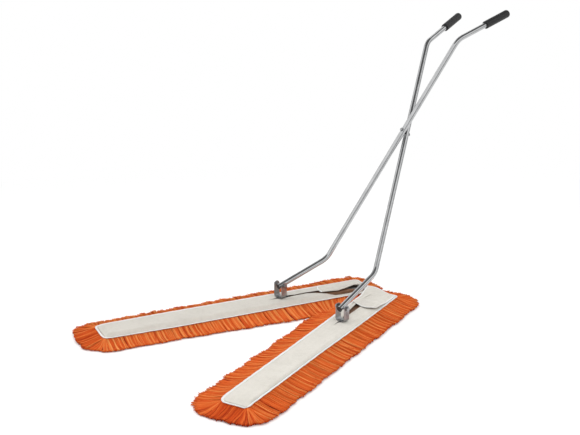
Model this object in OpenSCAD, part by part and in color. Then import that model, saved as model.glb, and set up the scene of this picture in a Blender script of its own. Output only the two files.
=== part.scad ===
// Scissor dust mop: two canvas-covered yarn heads hinged at the apex,
// swept by two bent tubes that cross and pivot like scissors.
// The origin is on the floor under the middle of the whole mop.
// +X is the left head, the heads open towards -Y and the grips point to +Y.

/* [Mop heads] */
// Length of the canvas cover on each head
head_l = 1000; // [800:5:1200]
// Width of the canvas cover on each head
head_w = 108; // [100:1:130]
// Angle of each head from the middle of the V, in degrees
half_open = 16.8; // [13:0.1:21]
// Angle of each head from the middle when the V is open all the way, in degrees
widest_half_open = 33.8; // [30:0.1:40]
// Gap from each cover's inner edge to the hinge line
hinge_side_gap = 0.6; // [0.4:0.1:2]
// Height of the yarn pile under the cover
pile_h = 20; // [12:0.5:26]
// Thickness of one layer of canvas
cloth_t = 1.2; // [0.8:0.1:2]
// Length of the yarn fringe beyond the canvas
fringe_l = 88; // [60:1:110]
// Gap from the fringe's underside to the floor
fringe_floor_gap = 0.6; // [0.2:0.1:2]
// Width of the sewn binding along the canvas edge
binding_w = 9; // [6:0.5:14]
// Length of the pocket tongue that closes the apex end
pocket_l = 180; // [130:1:220]

/* [Slit in the cover] */
// Width of the slit at the bracket
slit_w = 17; // [16:0.5:30]
// Width of the left slit at its apex end, which lies nearly shut
left_slit_apex_w = 24; // [20:0.5:60]
// Width of the right slit at its apex end, which gapes
right_slit_apex_w = 58; // [20:0.5:60]
// Length of the slit past the bracket, towards the tail
slit_past_bracket = 26; // [16:1:60]
// Distance from the apex end to the slit's start
slit_start = 30; // [20:1:60]

/* [Head boards] */
// Width of the timber board
board_w = 70; // [60:1:80]
// Thickness of the timber board
board_t = 10; // [8:0.5:16]
// Gap from the cover's ends to the board's ends
board_end_gap = 16; // [8:1:24]
// Corner radius of the board
board_r = 12; // [4:1:20]

/* [Apex hinge] */
// Length of each hinge leaf from the eye to its far screw
leaf_l = 88; // [70:1:110]
// Width of each hinge leaf
leaf_w = 24; // [20:1:30]
// Thickness of the hinge leaves and bracket plates
plate_t = 2; // [1.5:0.1:3]
// Direction of a leaf from the head's long edge, in degrees
leaf_turn = 34; // [30:1:40]
// Diameter of the hinge rivet
rivet_d = 8; // [6:0.5:10]
// Diameter of the hinge rivet's heads
rivet_head_d = 16; // [13:0.5:20]
// Height of each rivet head
rivet_head_h = 2.6; // [2:0.1:4]
// Thickness of the washer between the leaves
hinge_washer_t = 1; // [0.6:0.1:2]

/* [Brackets] */
// Distance of the bracket from the apex end of the cover
bracket_at = 345; // [250:1:450]
// Length of the plate under the bracket
bracket_plate_l = 74; // [60:1:100]
// Width of the plate under the bracket
bracket_plate_w = 46; // [38:1:60]
// Width of the bracket strap
strap_w = 24; // [18:1:26]
// Thickness of the bracket strap
strap_t = 2.5; // [2:0.1:4]
// Inner corner radius of the strap's bends
strap_r = 10; // [4:0.5:10]
// Gap between the cover and the strap
strap_lift = 1.6; // [1:0.1:6]
// Height of the tilt bolt above the strap's underside
bolt_rise = 47.2; // [42:0.1:60]
// Room on each side of the tube between the cheeks
side_play = 8.1; // [8:0.1:11]
// How far the tube sits towards the middle of the V in the bracket
tube_set_in = 4; // [3:0.1:4.5]
// Diameter of the swivel stud
stud_d = 8; // [6:0.5:9]
// Diameter of the swivel stud's head
stud_head_d = 13.5; // [12:0.5:14]
// Height of the swivel stud's head
stud_head_h = 3; // [2:0.1:5]
// Diameter of the spacer under the bracket
spacer_d = 14; // [12:0.5:15]
// Diameter of the tilt bolt
bolt_d = 8; // [6:0.5:8.5]

/* [Handle tubes] */
// Outer diameter of the tube
tube_d = 19.05; // [16:0.05:22]
// Wall of the tube
tube_wall = 1.5; // [1:0.1:2.5]
// Radius of the tube's bends, at its middle line
bend_r = 65; // [45:1:90]
// Tube past the tilt bolt
tube_tail = 12; // [11:0.5:20]
// Run from the tilt bolt to the lower bend, seen from the side
lower_run = 210; // [170:1:260]
// Slope of the lower run, in degrees
lower_tilt = 17.7; // [10:0.1:25]
// Run between the bends, seen from the side
main_run = 902; // [750:1:1000]
// Slope of the main run, in degrees
main_tilt = 57.9; // [50:0.1:65]
// Run from the upper bend to the grip's end, seen from the side
upper_run = 262; // [230:1:320]
// Slope of the upper run, in degrees
upper_tilt = 19.5; // [10:0.1:30]
// Distance of each lower bend from the middle of the V
bend_spread = 117; // [95:1:140]
// Distance of each upper bend from the middle of the V
top_spread = 82.5; // [60:0.5:110]
// Distance of each grip's end from the middle of the V
grip_spread = 123; // [100:1:160]

/* [Grips] */
// Length of the grip
grip_l = 122; // [100:1:150]
// Diameter of the grip
grip_d = 29; // [26:0.5:34]
// Rounding of the grip's closed end
grip_round = 9; // [5:0.5:11]
// Thickness of the grip's closed end
grip_end_t = 5; // [3:0.5:10]

/* [Scissor pivot] */
// Diameter of the pivot bolt
pivot_d = 6; // [5:0.5:8]
// Gap between the two tubes where they cross
pivot_gap = 3.6; // [2.5:0.1:6]
// Diameter of the spacer and washers on the pivot bolt
pivot_washer_d = 14; // [12:0.5:18]

/* [Hidden] */
$fn = 48;
left = 1;
right = -1;

// Clearances: cuts run past their faces, turning pieces run clear, soft layers lie loose
cut_over = 2;
run_gap = 0.2;
fit_gap = 0.06;
soft_gap = 0.2;
seat_gap = 0.3;

// Heights of the layers of a head, from the floor up
z_base = pile_h;
z_board = z_base + cloth_t;
z_plate = z_board + board_t;
z_top = z_plate + plate_t + soft_gap;
z_trim = z_top + cloth_t;
z_strap = z_trim + cloth_t + strap_lift;
bolt_z = z_strap + bolt_rise;

// Places across a head, from the hinge line outwards
v_in = hinge_side_gap;
v_mid = hinge_side_gap + head_w / 2;
v_out = hinge_side_gap + head_w;

// Hinge leaf, with the eye of the right leaf lifted over the left one
leaf_lift = plate_t + hinge_washer_t + 2 * run_gap;
leaf_eye_share = 0.64;
leaf_eye_l = leaf_eye_share * leaf_w;
leaf_step_l = leaf_lift;
leaf_screw_shares = [0.58, 0.79, 1];
hinge_clear_r = leaf_w / 2 / sin(leaf_turn) + 3 * cloth_t;
hinge_clear_z = z_plate - rivet_head_h - seat_gap;

// Countersunk wood screws
screw_d = 3.6;
screw_head_d = 7;
screw_l = 9;
plate_screw_u_share = 0.36;
plate_screw_v_share = 0.32;

// Stud in the board, and the strap that turns on it
stud_sink = 0.8 * board_t;
cheek_in = tube_d / 2 + side_play;
cheek_out = cheek_in + strap_t;
cheek_over = strap_w / 2;

// Bolts, nuts and washers
nut_share = 0.8;
head_share = 0.65;
flats_share = 1.625;
washer_share = 2;
washer_t_share = 0.2;
tilt_washer_t = washer_t_share * bolt_d;
pivot_washer_t = washer_t_share * pivot_d;
bolt_past_nut_share = 0.25;

// The tube draws in a little at its bends, and its straight runs lap over them
bend_draw = 0.03;
bend_lap = 1;

// Play of the tube's slotted hole on the tilt bolt, along the slot
pan_most = 8;
slot_half = tube_d / 2 * tan(pan_most);

// The scissor plane: along_main points up the tubes, across_main points to the front
along_main = [0, cos(main_tilt), sin(main_tilt)];
across_main = [0, -sin(main_tilt), cos(main_tilt)];
cross_share = bend_spread / (bend_spread + top_spread);
stagger = (tube_d + pivot_gap) / 2;
top_stagger = stagger / cross_share;

// Middle of the bracket on its head, from the hinge
bracket_x = bracket_at * sin(half_open) + v_mid * cos(half_open);
bracket_y = -bracket_at * cos(half_open) + v_mid * sin(half_open);

// Middle line of a tube on the left side, from the hinge, before the tubes are staggered
bolt_p = [bracket_x - tube_set_in, bracket_y, bolt_z];
low_p = [bend_spread, bracket_y + lower_run * cos(lower_tilt), bolt_z + lower_run * sin(lower_tilt)];
tail_p = bolt_p - tube_tail * unit(low_p - bolt_p);
top_p = [-top_spread, low_p.y + main_run * cos(main_tilt), low_p.z + main_run * sin(main_tilt)];
grip_p = [-grip_spread, top_p.y + upper_run * cos(upper_tilt), top_p.z + upper_run * sin(upper_tilt)];
cross_p = low_p + cross_share * (top_p - low_p);

// The hinge line stands so far behind the middle of the mop's length
grip_dir = unit(grip_p - top_p);
grip_rim_r = grip_d / 2 - grip_round;
grip_back = grip_p.y + top_stagger * sin(main_tilt) - grip_round * grip_dir.y
    + grip_rim_r * sqrt(1 - grip_dir.y * grip_dir.y) + grip_round;
tail_front = -head_l * cos(half_open) + v_in * sin(half_open) - fringe_l;
hinge_y = -(grip_back + tail_front) / 2;

// Shape of the fringe from its root to its tips, as shares of its length and height
fringe_h = z_top - fringe_floor_gap;
fringe_profile_shares = [[0, 0], [1, 0], [1, 0.16], [0.86, 0.42], [0.6, 0.68], [0.3, 0.88], [0, 1]];

function unit(v) = v / norm(v);
function side_p(p, side, step) = [side * p.x, p.y, p.z] - side * step * across_main;
function tail_of(side) = side_p(tail_p, side, 0);
function low_of(side) = side_p(low_p, side, 0);
function top_of(side) = side_p(top_p, side, top_stagger);
function grip_of(side) = side_p(grip_p, side, top_stagger);
function upper_dir(side) = unit(grip_of(side) - top_of(side));
function lower_dir(side) = unit(low_of(side) - tail_of(side));
function columns(x, y, z, p) = [
    [x.x, y.x, z.x, p.x],
    [x.y, y.y, z.y, p.y],
    [x.z, y.z, z.z, p.z],
    [0, 0, 0, 1]
];

// Placing
module from_hinge() {
    translate([0, hinge_y, 0]) children();
}

module on_side(side) {
    if (side == left) {
        children();
    } else {
        mirror([1, 0, 0]) children();
    }
}

// Head places: x runs from the hinge to the tail, y from the hinge line outwards
module on_head(side) {
    on_side(side) from_hinge() rotate([0, 0, half_open - 90]) children();
}

module at_bracket(side) {
    on_side(side) from_hinge() translate([bracket_x, bracket_y, 0]) children();
}

// z runs along a given direction
module along(p, dir) {
    x = unit(cross(dir, [1, 0, 0]));
    from_hinge() multmatrix(columns(x, cross(dir, x), dir, p)) children();
}

// z runs along the pivot bolt, from between the tubes towards the front
module on_pivot() {
    along(cross_p, across_main) children();
}

// Flat shapes
module round_plate(l, w, t, r) {
    linear_extrude(t) {
        square([l - 2 * r, w], center = true);
        square([l, w - 2 * r], center = true);
        for (x = [-1, 1], y = [-1, 1]) {
            translate([x * (l / 2 - r), y * (w / 2 - r)]) circle(r);
        }
    }
}

module ring(outer_d, inner_d, t) {
    difference() {
        cylinder(d = outer_d, h = t);
        translate([0, 0, -cut_over]) cylinder(d = inner_d, h = t + 2 * cut_over);
    }
}

module hexagon(d, h) {
    cylinder(d = flats_share * d / cos(30), h = h, $fn = 6);
}

module domed_head(d, h) {
    cylinder(d = d, h = h / 2);
    translate([0, 0, h / 2]) cylinder(d1 = d, d2 = d - h, h = h / 2);
}

// Soft pieces keep clear of the hinge at the apex corner
module hinge_clearance() {
    translate([0, 0, hinge_clear_z]) cylinder(r = hinge_clear_r, h = head_w);
}

// Countersunk screws, and the holes that they sit in
module screw(gap) {
    cone_h = (screw_head_d - screw_d) / 2;
    translate([0, 0, -screw_l - gap]) cylinder(d = screw_d + 2 * gap, h = screw_l + gap);
    translate([0, 0, -cone_h - gap]) cylinder(d1 = screw_d, d2 = screw_head_d + 2 * gap, h = cone_h + gap);
}

module at_leaf_screws() {
    for (share = leaf_screw_shares) {
        rotate([0, 0, leaf_turn]) translate([share * leaf_l, 0, z_plate + plate_t]) children();
    }
}

module at_plate_screws() {
    for (x = [-1, 1], y = [-1, 1]) {
        translate([bracket_at, v_mid, z_plate + plate_t])
            translate([x * plate_screw_u_share * bracket_plate_l, y * plate_screw_v_share * bracket_plate_w, 0])
            children();
    }
}

// Timber batten inside each cover
module board(side) {
    board_l = head_l - 2 * board_end_gap;
    color("burlywood") on_head(side) difference() {
        translate([head_l / 2, v_mid, z_board]) round_plate(board_l, board_w, board_t, board_r);
        at_leaf_screws() screw(fit_gap);
        at_plate_screws() screw(fit_gap);
        translate([bracket_at, v_mid, z_plate - stud_sink - fit_gap])
            cylinder(d = stud_d + 2 * fit_gap, h = stud_sink + cut_over);
    }
}

// Steel hinge strap on the board, with a stepped eye on the right head
module hinge_leaf(side) {
    lift = side == left ? 0 : leaf_lift;
    far = leaf_l + leaf_w / 2 + cut_over;
    step_end = leaf_eye_l + leaf_step_l;
    color("silver") on_head(side) difference() {
        rotate([0, 0, leaf_turn]) translate([0, 0, z_plate]) intersection() {
            linear_extrude(plate_t + lift) {
                circle(d = leaf_w);
                translate([0, -leaf_w / 2]) square([leaf_l, leaf_w]);
                translate([leaf_l, 0]) circle(d = leaf_w);
            }
            translate([0, leaf_w, 0]) rotate([90, 0, 0]) linear_extrude(2 * leaf_w) polygon([
                [-leaf_w, lift], [leaf_eye_l, lift], [step_end, 0], [far, 0],
                [far, plate_t], [step_end, plate_t], [leaf_eye_l, plate_t + lift], [-leaf_w, plate_t + lift]
            ]);
        }
        translate([0, 0, z_plate - cut_over])
            cylinder(d = rivet_d + 2 * fit_gap, h = leaf_lift + plate_t + 2 * cut_over);
        at_leaf_screws() screw(fit_gap);
    }
}

module leaf_screws(side) {
    color("gray") on_head(side) at_leaf_screws() screw(0);
}

// Steel plate on the board that carries the bracket's stud
module bracket_plate(side) {
    color("silver") on_head(side) difference() {
        translate([bracket_at, v_mid, z_plate])
            round_plate(bracket_plate_l, bracket_plate_w, plate_t, board_r / 2);
        at_plate_screws() screw(fit_gap);
        translate([bracket_at, v_mid, z_plate - cut_over])
            cylinder(d = stud_d + 2 * fit_gap, h = plate_t + 2 * cut_over);
    }
}

module plate_screws(side) {
    color("gray") on_head(side) at_plate_screws() screw(0);
}

// Headed stud in the board that the bracket turns on
module swivel_stud(side) {
    stud_top = z_strap + strap_t + run_gap;
    color("gray") at_bracket(side) {
        translate([0, 0, z_plate - stud_sink]) cylinder(d = stud_d, h = stud_top - z_plate + stud_sink);
        translate([0, 0, stud_top]) domed_head(stud_head_d, stud_head_h);
    }
}

module swivel_spacer(side) {
    color("dimgray") at_bracket(side) translate([0, 0, z_plate + plate_t])
        ring(spacer_d, stud_d + 2 * fit_gap, z_strap - run_gap - z_plate - plate_t);
}

// Outline of the bent strap, seen along the tube
module strap_profile() {
    bend = strap_r + strap_t;
    height = bolt_rise + cheek_over;
    for (x = [-1, 1]) {
        translate([x * (cheek_in + strap_t / 2) - strap_t / 2, bend]) square([strap_t, height - bend]);
        translate([x * (cheek_out - bend), bend]) intersection() {
            difference() {
                circle(bend);
                circle(strap_r);
            }
            translate([x * bend / 2 - bend / 2, -bend]) square(bend);
        }
    }
    translate([bend - cheek_out, 0]) square([2 * (cheek_out - bend), strap_t]);
}

// Bent steel strap whose cheeks hold the tube
module bracket(side) {
    color("lightgray") at_bracket(side) translate([0, 0, z_strap]) difference() {
        intersection() {
            translate([0, strap_w / 2, 0]) rotate([90, 0, 0]) linear_extrude(strap_w) strap_profile();
            translate([-cheek_out, 0, 0]) rotate([90, 0, 90]) linear_extrude(2 * cheek_out) {
                translate([-strap_w / 2, 0]) square([strap_w, bolt_rise]);
                translate([0, bolt_rise]) circle(cheek_over);
            }
        }
        translate([0, 0, -cut_over]) cylinder(d = stud_d + 2 * fit_gap, h = strap_t + 2 * cut_over);
        translate([-cheek_out - cut_over, 0, bolt_rise]) rotate([0, 90, 0])
            cylinder(d = bolt_d + 2 * fit_gap, h = 2 * (cheek_out + cut_over));
    }
}

// x of a bracket becomes the bolt's length, from the inner cheek outwards
module on_tilt_bolt(side) {
    at_bracket(side) translate([0, 0, bolt_z]) rotate([0, 90, 0]) children();
}

module tilt_bolt(side) {
    seat = cheek_out + run_gap + tilt_washer_t;
    nut_end = seat + (nut_share + bolt_past_nut_share) * bolt_d;
    color("gray") on_tilt_bolt(side) {
        translate([0, 0, -nut_end]) cylinder(d = bolt_d, h = nut_end + seat);
        translate([0, 0, seat]) hexagon(bolt_d, head_share * bolt_d);
    }
}

module tilt_nut(side) {
    seat = cheek_out + run_gap + tilt_washer_t;
    color("gray") on_tilt_bolt(side) translate([0, 0, -seat - nut_share * bolt_d]) difference() {
        hexagon(bolt_d, nut_share * bolt_d);
        translate([0, 0, -cut_over]) cylinder(d = bolt_d + 2 * fit_gap, h = nut_share * bolt_d + 2 * cut_over);
    }
}

module tilt_washers(side) {
    color("silver") on_tilt_bolt(side) for (z = [cheek_out + run_gap, -cheek_out - run_gap - tilt_washer_t]) {
        translate([0, 0, z]) ring(washer_share * bolt_d, bolt_d + 2 * fit_gap, tilt_washer_t);
    }
}

// Solid rod along a tube's path: straight runs that lap over the round bends between them
module straight_run(a, b, r) {
    along(a, unit(b - a)) cylinder(r = r, h = norm(b - a));
}

module bend(p, d0, d1, r) {
    inward = unit(d1 - (d1 * d0) * d0);
    turn = acos(d0 * d1);
    start = p - bend_r * tan(turn / 2) * d0;
    centre = start + bend_r * inward;
    from_hinge() multmatrix(columns(-inward, d0, cross(-inward, d0), centre))
        rotate_extrude(angle = turn) translate([bend_r, 0]) circle(r - bend_draw);
}

module rod(side, r, past) {
    d0 = lower_dir(side);
    d1 = unit(top_of(side) - low_of(side));
    d2 = upper_dir(side);
    low_back = bend_r * tan(acos(d0 * d1) / 2) - bend_lap;
    top_back = bend_r * tan(acos(d1 * d2) / 2) - bend_lap;
    straight_run(tail_of(side) - past * d0, low_of(side) - low_back * d0, r);
    bend(low_of(side), d0, d1, r);
    straight_run(low_of(side) + low_back * d1, top_of(side) - top_back * d1, r);
    bend(top_of(side), d1, d2, r);
    straight_run(top_of(side) + top_back * d2, grip_of(side) + (past - grip_end_t) * d2, r);
}

// Bent steel tube of each handle, drilled for the pivot and slotted for the tilt bolt
module tube(side) {
    slot_r = bolt_d / 2 + seat_gap;
    color("lightsteelblue") difference() {
        rod(side, tube_d / 2, 0);
        rod(side, tube_d / 2 - tube_wall, cut_over);
        on_pivot() translate([0, 0, -2 * tube_d]) cylinder(d = pivot_d + 2 * run_gap, h = 4 * tube_d);
        on_side(side) from_hinge() translate(bolt_p) rotate([main_tilt, 0, 0])
            translate([-tube_d, 0, 0]) rotate([90, 0, 90]) linear_extrude(2 * tube_d) {
                square([2 * slot_half, 2 * slot_r], center = true);
                for (x = [-1, 1]) {
                    translate([x * slot_half, 0]) circle(slot_r);
                }
            }
    }
}

// Plug that closes the tube's lower end
module end_plug(side) {
    rim = tube_wall;
    stem = tube_tail / 3;
    color("black") along(tail_of(side), lower_dir(side)) {
        translate([0, 0, -rim]) cylinder(d = tube_d, h = rim);
        cylinder(d = tube_d - 2 * tube_wall - 2 * fit_gap, h = stem);
    }
}

// Grip pushed over the tube's upper end, with a round closed end
module grip(side) {
    r = grip_d / 2;
    bore_r = tube_d / 2 + fit_gap;
    color("black") along(grip_of(side) - grip_l * upper_dir(side), upper_dir(side)) rotate_extrude() difference() {
        union() {
            square([r, grip_l - grip_round]);
            square([r - grip_round, grip_l]);
            translate([r - grip_round, grip_l - grip_round]) circle(grip_round);
        }
        translate([0, -cut_over]) square([bore_r, grip_l - grip_end_t + cut_over]);
        translate([-2 * r, -cut_over]) square([2 * r, grip_l + 2 * cut_over]);
    }
}

// Canvas that carries the yarn, under the board
module base_cloth(side) {
    color("linen") on_head(side) translate([0, v_in, z_base]) cube([head_l, head_w, cloth_t]);
}

// Slit from the bracket to the apex, wider at the apex
module slit_outline(side) {
    tail_end = bracket_at + slit_past_bracket;
    apex_w = side == left ? left_slit_apex_w : right_slit_apex_w;
    polygon([
        [slit_start, v_mid - apex_w / 2], [tail_end, v_mid - slit_w / 2],
        [tail_end, v_mid + slit_w / 2], [slit_start, v_mid + apex_w / 2]
    ]);
    translate([tail_end, v_mid]) circle(d = slit_w);
}

// Canvas over the board, with sides down to the base cloth and a slit along it
module top_cloth(side) {
    color("ivory") on_head(side) difference() {
        translate([0, v_in, z_board]) cube([head_l, head_w, z_trim - z_board]);
        translate([cloth_t, v_in + cloth_t, z_board - cut_over])
            cube([head_l - 2 * cloth_t, head_w - 2 * cloth_t, z_top - z_board + cut_over]);
        translate([0, 0, z_top - cut_over]) linear_extrude(cloth_t + 2 * cut_over) slit_outline(side);
        hinge_clearance();
    }
}

// Outline of the tongue that covers the apex end, round at its free edge
module tongue_outline(gap) {
    straight_l = pocket_l - head_w / 2;
    translate([-gap, v_in - gap]) square([straight_l + gap, head_w + 2 * gap]);
    translate([straight_l, v_mid]) circle(head_w / 2 + gap);
}

// Tape sewn along the edge of the top cloth, up to the tongue
module binding(side) {
    color("white") on_head(side) difference() {
        translate([0, v_in, z_trim]) cube([head_l, head_w, cloth_t]);
        translate([-head_l, v_in + binding_w, z_trim - cut_over])
            cube([2 * head_l - binding_w, head_w - 2 * binding_w, cloth_t + 2 * cut_over]);
        translate([0, 0, z_trim - cut_over]) linear_extrude(cloth_t + 2 * cut_over) tongue_outline(soft_gap);
    }
}

// Tongue of canvas that folds over the slit at the apex
module apex_pocket(side) {
    color("ivory") on_head(side) difference() {
        translate([0, 0, z_trim]) linear_extrude(cloth_t) tongue_outline(0);
        hinge_clearance();
    }
}

// Cut yarn under the base cloth, which the mop stands on
module yarn_pile(side) {
    color("orangered") on_head(side) translate([0, v_in, 0]) cube([head_l, head_w, pile_h]);
}

module fringe_profile() {
    polygon([for (p = fringe_profile_shares) [p.x * fringe_l, fringe_floor_gap + p.y * fringe_h]]);
}

// Straight fringe along +x from the origin, reaching out to -y
module fringe_edge(l) {
    rotate([90, 0, 90]) linear_extrude(l) mirror([1, 0]) fringe_profile();
}

// Quarter turn of fringe about the origin, from +x towards +y
module fringe_corner() {
    rotate_extrude(angle = 90) fringe_profile();
}

// Cuts away what would cross the middle of the V with the head at a given angle
module keep_side(angle) {
    reach = 2 * head_l;
    rotate([0, 0, 90 - angle]) translate([seat_gap - reach, -reach, -cut_over]) cube([reach, 2 * reach, reach]);
}

// Fringe along the outer side, round the tail and the apex end
module outer_fringe(side) {
    color("orangered") on_head(side) difference() {
        union() {
            translate([head_l, v_out, 0]) rotate([0, 0, 180]) fringe_edge(head_l);
            translate([head_l, v_in, 0]) rotate([0, 0, 90]) fringe_edge(head_w);
            translate([0, v_out, 0]) rotate([0, 0, -90]) fringe_edge(head_w);
            translate([head_l, v_out, 0]) fringe_corner();
            translate([0, v_out, 0]) rotate([0, 0, 90]) fringe_corner();
        }
        keep_side(widest_half_open);
        hinge_clearance();
    }
}

// Fringe inside the V, pressed against the other head's fringe near the apex
module inner_fringe(side) {
    color("orangered") on_head(side) difference() {
        union() {
            translate([0, v_in, 0]) fringe_edge(head_l);
            translate([head_l, v_in, 0]) rotate([0, 0, -90]) fringe_corner();
        }
        keep_side(half_open);
        hinge_clearance();
    }
}

// Rivet through both hinge leaves
module hinge_rivet() {
    top = z_plate + leaf_lift + plate_t + run_gap;
    color("gray") from_hinge() {
        translate([0, 0, z_plate]) cylinder(d = rivet_d, h = top - z_plate);
        translate([0, 0, top]) domed_head(rivet_head_d, rivet_head_h);
        translate([0, 0, z_plate]) mirror([0, 0, 1]) domed_head(rivet_head_d, rivet_head_h);
    }
}

module hinge_washer() {
    color("silver") from_hinge() translate([0, 0, z_plate + plate_t + run_gap])
        ring(rivet_head_d, rivet_d + 2 * fit_gap, hinge_washer_t);
}

// Distance from between the tubes to the outer face of a washer on the pivot bolt
pivot_seat = stagger + tube_d / 2 + seat_gap + pivot_washer_t;

module pivot_bolt() {
    nut_end = pivot_seat + (nut_share + bolt_past_nut_share) * pivot_d;
    color("gray") on_pivot() {
        translate([0, 0, -nut_end]) cylinder(d = pivot_d, h = nut_end + pivot_seat);
        translate([0, 0, pivot_seat]) hexagon(pivot_d, head_share * pivot_d);
    }
}

module pivot_nut() {
    color("gray") on_pivot() translate([0, 0, -pivot_seat - nut_share * pivot_d]) difference() {
        hexagon(pivot_d, nut_share * pivot_d);
        translate([0, 0, -cut_over]) cylinder(d = pivot_d + 2 * fit_gap, h = nut_share * pivot_d + 2 * cut_over);
    }
}

module pivot_washers() {
    color("silver") on_pivot() for (z = [pivot_seat - pivot_washer_t, -pivot_seat]) {
        translate([0, 0, z]) ring(pivot_washer_d, pivot_d + 2 * fit_gap, pivot_washer_t);
    }
}

// Spacer between the tubes at the crossing
module pivot_spacer() {
    t = pivot_gap - 2 * seat_gap;
    color("dimgray") on_pivot() translate([0, 0, -t / 2]) ring(pivot_washer_d, pivot_d + 2 * fit_gap, t);
}

board(left);  // left_board
board(right);  // right_board
hinge_leaf(left);  // left_hinge_leaf
hinge_leaf(right);  // right_hinge_leaf
leaf_screws(left);  // left_leaf_screws
leaf_screws(right);  // right_leaf_screws
bracket_plate(left);  // left_bracket_plate
bracket_plate(right);  // right_bracket_plate
plate_screws(left);  // left_plate_screws
plate_screws(right);  // right_plate_screws
swivel_stud(left);  // left_swivel_stud
swivel_stud(right);  // right_swivel_stud
swivel_spacer(left);  // left_swivel_spacer
swivel_spacer(right);  // right_swivel_spacer
bracket(left);  // left_bracket
bracket(right);  // right_bracket
tilt_bolt(left);  // left_tilt_bolt
tilt_bolt(right);  // right_tilt_bolt
tilt_nut(left);  // left_tilt_nut
tilt_nut(right);  // right_tilt_nut
tilt_washers(left);  // left_tilt_washers
tilt_washers(right);  // right_tilt_washers
tube(left);  // left_tube
tube(right);  // right_tube
end_plug(left);  // left_end_plug
end_plug(right);  // right_end_plug
grip(left);  // left_grip
grip(right);  // right_grip
base_cloth(left);  // left_base_cloth
base_cloth(right);  // right_base_cloth
top_cloth(left);  // left_top_cloth
top_cloth(right);  // right_top_cloth
binding(left);  // left_binding
binding(right);  // right_binding
apex_pocket(left);  // left_apex_pocket
apex_pocket(right);  // right_apex_pocket
yarn_pile(left);  // left_yarn_pile
yarn_pile(right);  // right_yarn_pile
outer_fringe(left);  // left_outer_fringe
outer_fringe(right);  // right_outer_fringe
inner_fringe(left);  // left_inner_fringe
inner_fringe(right);  // right_inner_fringe
hinge_rivet();
hinge_washer();
pivot_bolt();
pivot_nut();
pivot_washers();
pivot_spacer();
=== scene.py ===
import math

import bpy
import numpy as np
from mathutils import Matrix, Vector


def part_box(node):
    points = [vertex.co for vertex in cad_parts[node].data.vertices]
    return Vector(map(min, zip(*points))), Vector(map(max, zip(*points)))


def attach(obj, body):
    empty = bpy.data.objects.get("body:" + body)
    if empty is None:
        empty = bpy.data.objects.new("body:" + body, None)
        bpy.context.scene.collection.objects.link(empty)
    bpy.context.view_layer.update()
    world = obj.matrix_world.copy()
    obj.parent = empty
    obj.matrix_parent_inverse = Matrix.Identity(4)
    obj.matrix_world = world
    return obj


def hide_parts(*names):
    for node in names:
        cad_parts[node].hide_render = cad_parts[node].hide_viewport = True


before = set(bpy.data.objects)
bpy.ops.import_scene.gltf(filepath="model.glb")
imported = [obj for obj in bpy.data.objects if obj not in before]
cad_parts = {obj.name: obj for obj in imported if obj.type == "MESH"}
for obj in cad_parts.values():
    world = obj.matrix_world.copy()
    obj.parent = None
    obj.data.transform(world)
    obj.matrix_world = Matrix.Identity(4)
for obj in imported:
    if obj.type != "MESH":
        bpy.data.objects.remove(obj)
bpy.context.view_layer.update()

# Studio: a wide pale floor under three large soft lamps, seen by a camera a little over a metre
# up, in front of the near head. Away from the mop the floor and the backdrop turn plain white,
# and the metal mirrors bands of light and dark, as from screens and walls round it.
camera_at = (2.0710, -2.1617, 1.1821)
camera_pitch = math.radians(15.65)
camera_yaw = math.radians(46.61)
camera_lens = 55.86
sensor_w = 36.0
floor_reach = 60.0
floor_tone = (0.93, 0.93, 0.93, 1)
white_tone = (1, 1, 1, 1)
fade_from = 1.1
fade_to = 2.6
# Bands of light from the horizon up: height, then brightness.
sky_bands = [(0.5, 0.70), (0.54, 0.22), (0.62, 0.05), (0.74, 0.20), (0.88, 0.62), (1.0, 0.75)]
mirrored_bands = [
    (0.5, 0.95), (0.545, 0.12), (0.60, 0.35), (0.66, 1.1), (0.80, 1.15), (0.86, 0.95),
    (0.905, 0.12), (1.0, 0.20),
]
lamps = {
    "key_lamp": dict(at=(2.6, -1.6, 3.6), size=4.6, power=150),
    "side_lamp": dict(at=(-3.2, -2.2, 3.0), size=4.0, power=88),
    "back_lamp": dict(at=(-0.6, 3.6, 3.2), size=4.0, power=78),
}


def node(tree, kind, inputs=None, **settings):
    """A shader node with its settings, and its inputs as values or as links from other nodes."""
    made = tree.nodes.new(kind)
    for key, value in settings.items():
        setattr(made, key, value)
    for socket, value in (inputs or {}).items():
        if isinstance(value, bpy.types.NodeSocket):
            tree.links.new(value, made.inputs[socket])
        else:
            made.inputs[socket].default_value = value
    return made


def maths(tree, operation, *values):
    """The result of one sum on values or on other nodes' results."""
    return node(tree, "ShaderNodeMath", dict(enumerate(values)), operation=operation).outputs[0]


def finish_of(name, **sockets):
    """A new material, its tree and its Principled shader with plain values set."""
    made = bpy.data.materials.new(name)
    made.use_nodes = True
    shader = made.node_tree.nodes["Principled BSDF"]
    for socket, value in sockets.items():
        shader.inputs[socket.replace("_", " ")].default_value = value
    return made, made.node_tree, shader


def shades(tree, value, stops):
    """A colour that runs through stops of (position, colour) as value goes from 0 to 1."""
    ramp = node(tree, "ShaderNodeValToRGB", {0: value})
    first, last = ramp.color_ramp.elements
    first.position, first.color = stops[0]
    last.position, last.color = stops[-1]
    for position, tone in stops[1:-1]:
        ramp.color_ramp.elements.new(position).color = tone
    return ramp.outputs[0]


camera = bpy.data.objects.new("camera", bpy.data.cameras.new("camera"))
bpy.context.scene.collection.objects.link(camera)
camera.location = camera_at
camera.rotation_euler = (math.pi / 2 - camera_pitch, 0, camera_yaw)
camera.data.sensor_width = sensor_w
camera.data.lens = camera_lens
bpy.context.scene.camera = camera
bpy.context.scene.view_settings.view_transform = "Standard"

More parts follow.
